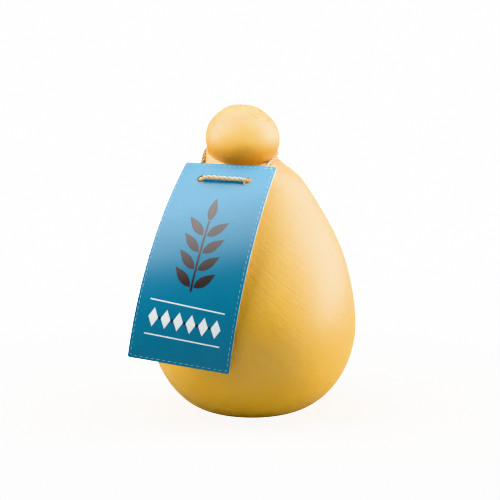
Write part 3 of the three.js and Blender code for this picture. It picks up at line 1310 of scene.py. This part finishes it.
        # Triangles that face the back are turned round
        a, b, c = np.moveaxis(flat[corners], 1, 0)
        wrong = (b[:, 0] - a[:, 0]) * (c[:, 1] - a[:, 1]) > (b[:, 1] - a[:, 1]) * (c[:, 0] - a[:, 0])
        corners[wrong] = corners[wrong][:, ::-1]
        parts = np.full(len(corners), CardPart.BLUE.value)
        for part, shape in shapes:
            parts[self.within(middle, shape)] = part.value
        return flat, corners, parts

    @staticmethod
    @cache
    def stitch_tree() -> bpy.types.NodeTree:
        """Geometry tree that sets a stitch at even steps along each line.

        Returns:
            The tree.
        """
        takes = {
            "Lines": Kind.GEOMETRY, "Step": Kind.FLOAT, "Stitch Size": Kind.VECTOR, "Sides": Kind.INT,
            "Rings": Kind.INT, "Least Scale": Kind.FLOAT, "Most Scale": Kind.FLOAT, "Seed": Kind.INT,
            "Material": Kind.MATERIAL,
        }
        graph = new_group("stitch_row", "GeometryNodeTree", takes, {"Stitches": Kind.GEOMETRY})
        given = graph.add("NodeGroupInput").outputs
        line = graph.out("GeometryNodeMeshToCurve", {"Mesh": given["Lines"]})
        even = graph.out(
            "GeometryNodeResampleCurve", {"Curve": line, "Length": given["Step"]}, mode="LENGTH"
        )
        ball = graph.out(
            "GeometryNodeMeshUVSphere", {"Segments": given["Sides"], "Rings": given["Rings"], "Radius": 1.0}
        )
        stitch = graph.out("GeometryNodeTransform", {"Geometry": ball, "Scale": given["Stitch Size"]})
        tangent = graph.out("GeometryNodeInputTangent")
        turned = graph.out("FunctionNodeAlignRotationToVector", {"Vector": tangent}, axis="Z")
        uneven = graph.add(
            "FunctionNodeRandomValue",
            {2: given["Least Scale"], 3: given["Most Scale"], "Seed": given["Seed"]},
            data_type="FLOAT",
        ).outputs[1]
        row = graph.out(
            "GeometryNodeInstanceOnPoints",
            {"Points": even, "Instance": stitch, "Rotation": turned, "Scale": uneven},
        )
        return end_tree(graph, row, given["Material"])

    def stitches(self, thread: bpy.types.Material) -> bpy.types.Object:
        """Row of stitches just inside the edge of the card's face.

        Args:
            thread: Their finish.

        Returns:
            The piece, a plain mesh.
        """
        loop = self.outline(self.stitch_inset)
        loop = np.vstack([loop, loop[:1]])
        run = run_along(loop)
        even = np.arange(0.0, run[-1], self.stitch_line_gap)
        across, below = (np.interp(even, run, loop[:, k]) for k in (0, 1))
        line = self.place(across, below) + self.front(across, below) * self.thickness / 2.0
        least, most = self.stitch_scales
        sizes = {
            "Step": (self.stitch_length + self.stitch_gap) * MM,
            "Stitch Size": Vector((self.stitch_radius, self.stitch_radius, self.stitch_length / 2.0)) * MM,
            "Sides": self.stitch_sides, "Rings": self.stitch_rings, "Least Scale": least,
            "Most Scale": most, "Seed": self.stitch_seed, "Material": thread,
        }
        return grow("tag_stitches", [line], self.stitch_tree(), sizes)

    def build(self, finishes: dict[CardPart, bpy.types.Material], thread: bpy.types.Material) -> None:
        """Makes the card and its stitches.

        Args:
            finishes: Material of each part of the card.
            thread: Material of the stitches.
        """
        flat, corners, parts = self.flat_card()
        middle, front = self.place(*flat.T), self.front(*flat.T)
        half = front * self.thickness / 2.0
        count = len(flat)
        # Sides that only one triangle has get a wall through the card
        sides = {(a, b) for tri in corners.tolist() for a, b in zip(tri, tri[1:] + tri[:1])}
        walls = [(b, a, a + count, b + count) for a, b in sides if (b, a) not in sides]
        faces = corners.tolist() + (corners[:, ::-1] + count).tolist() + sorted(walls)
        mesh = new_mesh("tag_card", np.vstack([middle + half, middle - half]), faces)
        for part in CardPart:
            mesh.materials.append(finishes[part])
        backs = np.full(len(corners), CardPart.BACK.value)
        rim = np.full(len(walls), CardPart.EDGE.value)
        mesh.polygons.foreach_set("material_index", np.concatenate([parts, backs, rim]).astype(np.int32))
        layer = mesh.uv_layers.new(name=self.UV)
        corner_points = np.zeros(len(mesh.loops), np.int32)
        mesh.loops.foreach_get("vertex_index", corner_points)
        share = flat[corner_points % count] / (self.width, -self.length) + (0.5, 1.0)
        layer.data.foreach_set("uv", share.astype(np.float32).ravel())
        mesh.set_sharp_from_angle(angle=self.crisp_angle)
        keep_piece(new_object("tag_card", mesh), "card", "tag")
        keep_piece(self.stitches(thread), "card")


@dataclass(frozen=True)
class SoftBox:
    """A soft lamp that faces the cheese, in metres and watts."""

    name: str
    place: Place
    power: float
    size: float = 0.6
    aim: Place = (0.0, 0.0, 0.1)
    spread: float = math.pi
    highlight: bool = True

    def build(self) -> None:
        """Makes the lamp."""
        lamp = bpy.data.lights.new(self.name, "AREA")
        lamp.shape = "SQUARE"
        lamp.size = self.size
        lamp.energy = self.power
        lamp.spread = self.spread
        held = new_object(self.name, lamp)
        held.location = self.place
        held.visible_camera = False
        held.visible_glossy = self.highlight
        held.rotation_mode = "QUATERNION"
        held.rotation_quaternion = (Vector(self.aim) - held.location).to_track_quat("-Z", "Y")


@dataclass
class Studio:
    """Camera, lamps, pale floor and backdrop."""

    camera_place: Place = (-1.4, -894.83, 235.81)
    camera_pitch: float = math.radians(7.972)
    lens: float = 95.112
    sensor: float = 36.0
    floor_half: float = 6.0
    floor_drop: float = 0.0002
    floor_roughness: float = 0.8
    floor_glow: Pair = (1.5, 12.0)
    floor_glow_reach: Pair = (0.25, 0.8)
    floor_bounce: Colour = (0.5, 0.5, 0.5, 1.0)
    backdrop: float = 12.0
    view: str = "Khronos PBR Neutral"

    BOXES = (
        SoftBox("right_box", (0.95, 0.0, 0.4), 10.6),
        SoftBox("right_rear_box", (0.82, 0.47, 0.4), 7.2),
        SoftBox("right_high_box", (0.6, 0.0, 0.85), 9.5),
        SoftBox("left_box", (-0.95, 0.0, 0.4), 8.4),
        SoftBox("left_high_box", (-0.6, 0.0, 0.85), 6.4),
        SoftBox("left_front_box", (-0.6, -0.52, 0.86), 5.4),
        SoftBox("top_box", (0.0, 0.2, 1.1), 8.6),
        SoftBox(
            "head_box", (-0.03, -0.42, 0.6), 0.013, size=0.05,
            aim=(-0.006, -0.02, 0.198), spread=math.radians(9.0), highlight=False,
        ),
    )

    def build(self) -> None:
        """Sets up everything round the cheese."""
        self.build_camera()
        for box in self.BOXES:
            box.build()
        self.build_floor()
        self.build_backdrop()
        bpy.context.scene.view_settings.view_transform = self.view

    def build_camera(self) -> None:
        """Makes the camera in front of the cheese."""
        lens = bpy.data.cameras.new("camera")
        lens.lens, lens.sensor_width = self.lens, self.sensor
        held = new_object("camera", lens)
        held.location = Vector(self.camera_place) * MM
        held.rotation_euler = (math.pi / 2.0 - self.camera_pitch, 0.0, 0.0)
        bpy.context.scene.camera = held

    def build_floor(self) -> None:
        """Makes the floor just under the cheese: white to the camera, grey to the cheese."""
        half, low = self.floor_half / MM, -self.floor_drop / MM
        corners = np.array([(-half, -half, low), (half, -half, low), (half, half, low), (-half, half, low)])
        floor = new_object("floor", new_mesh("floor", corners, [(0, 1, 2, 3)]))
        finish = Finish("floor")
        graph = finish.graph
        place = graph.add("ShaderNodeTexCoord").outputs["Object"]
        away = graph.add("ShaderNodeVectorMath", {0: place}, operation="LENGTH").outputs["Value"]
        glow = graph.span(away, self.floor_glow_reach, self.floor_glow)
        path = graph.add("ShaderNodeLightPath").outputs
        seen = path["Is Camera Ray"]
        bounce = graph.mix(path["Is Diffuse Ray"], BLACK, self.floor_bounce)
        finish.set(Base_Color=graph.mix(seen, bounce, WHITE), Roughness=self.floor_roughness)
        finish.set(Emission_Color=graph.mix(seen, BLACK, glow), Emission_Strength=1.0)
        finish.set(Specular_IOR_Level=0.0)
        floor.data.materials.append(finish.material)

    def build_backdrop(self) -> None:
        """Gives the camera a white backdrop that throws no light on the cheese."""
        world = bpy.data.worlds.new("backdrop")
        bpy.context.scene.world = world
        world.use_nodes = True
        graph = Graph(world.node_tree)
        seen = graph.add("ShaderNodeLightPath").outputs["Is Camera Ray"]
        sky = world.node_tree.nodes["Background"].inputs
        graph.feed(sky["Color"], WHITE)
        graph.feed(sky["Strength"], graph.math("MULTIPLY", seen, self.backdrop))


def main() -> None:
    """Builds the studio, the twine, the cheese and the tag."""
    logging.basicConfig(level=logging.INFO)
    Studio().build()
    twine = Twine()
    hemp = FibreFinish("hemp", (0.86, 0.76, 0.58, 1.0), (0.42, 0.28, 0.14, 1.0))
    twine.build(hemp.material())
    Cheese().build(twine, RindFinish().material())
    finishes = {
        CardPart.BLUE: CardFinish("blue_print", (0.002, 0.158, 0.285, 1.0), (0.008, 0.205, 0.345, 1.0)),
        CardPart.BROWN: CardFinish("brown_print", (0.035, 0.022, 0.02, 1.0), (0.06, 0.045, 0.045, 1.0)),
        CardPart.WHITE: CardFinish("white_print", (0.8, 0.82, 0.82, 1.0), (0.68, 0.74, 0.78, 1.0)),
        CardPart.EDGE: CardFinish("card_edge", (0.4, 0.52, 0.54, 1.0), (0.3, 0.42, 0.46, 1.0), 0.8),
        CardPart.BACK: CardFinish("card_back", (0.74, 0.68, 0.56, 1.0), (0.62, 0.55, 0.43, 1.0), 0.7),
    }
    thread = FibreFinish("stitch_thread", (0.42, 0.56, 0.62, 1.0), (0.34, 0.48, 0.55, 1.0))
    Tag().build({part: finish.material() for part, finish in finishes.items()}, thread.material())


if __name__ == "__main__":
    main()
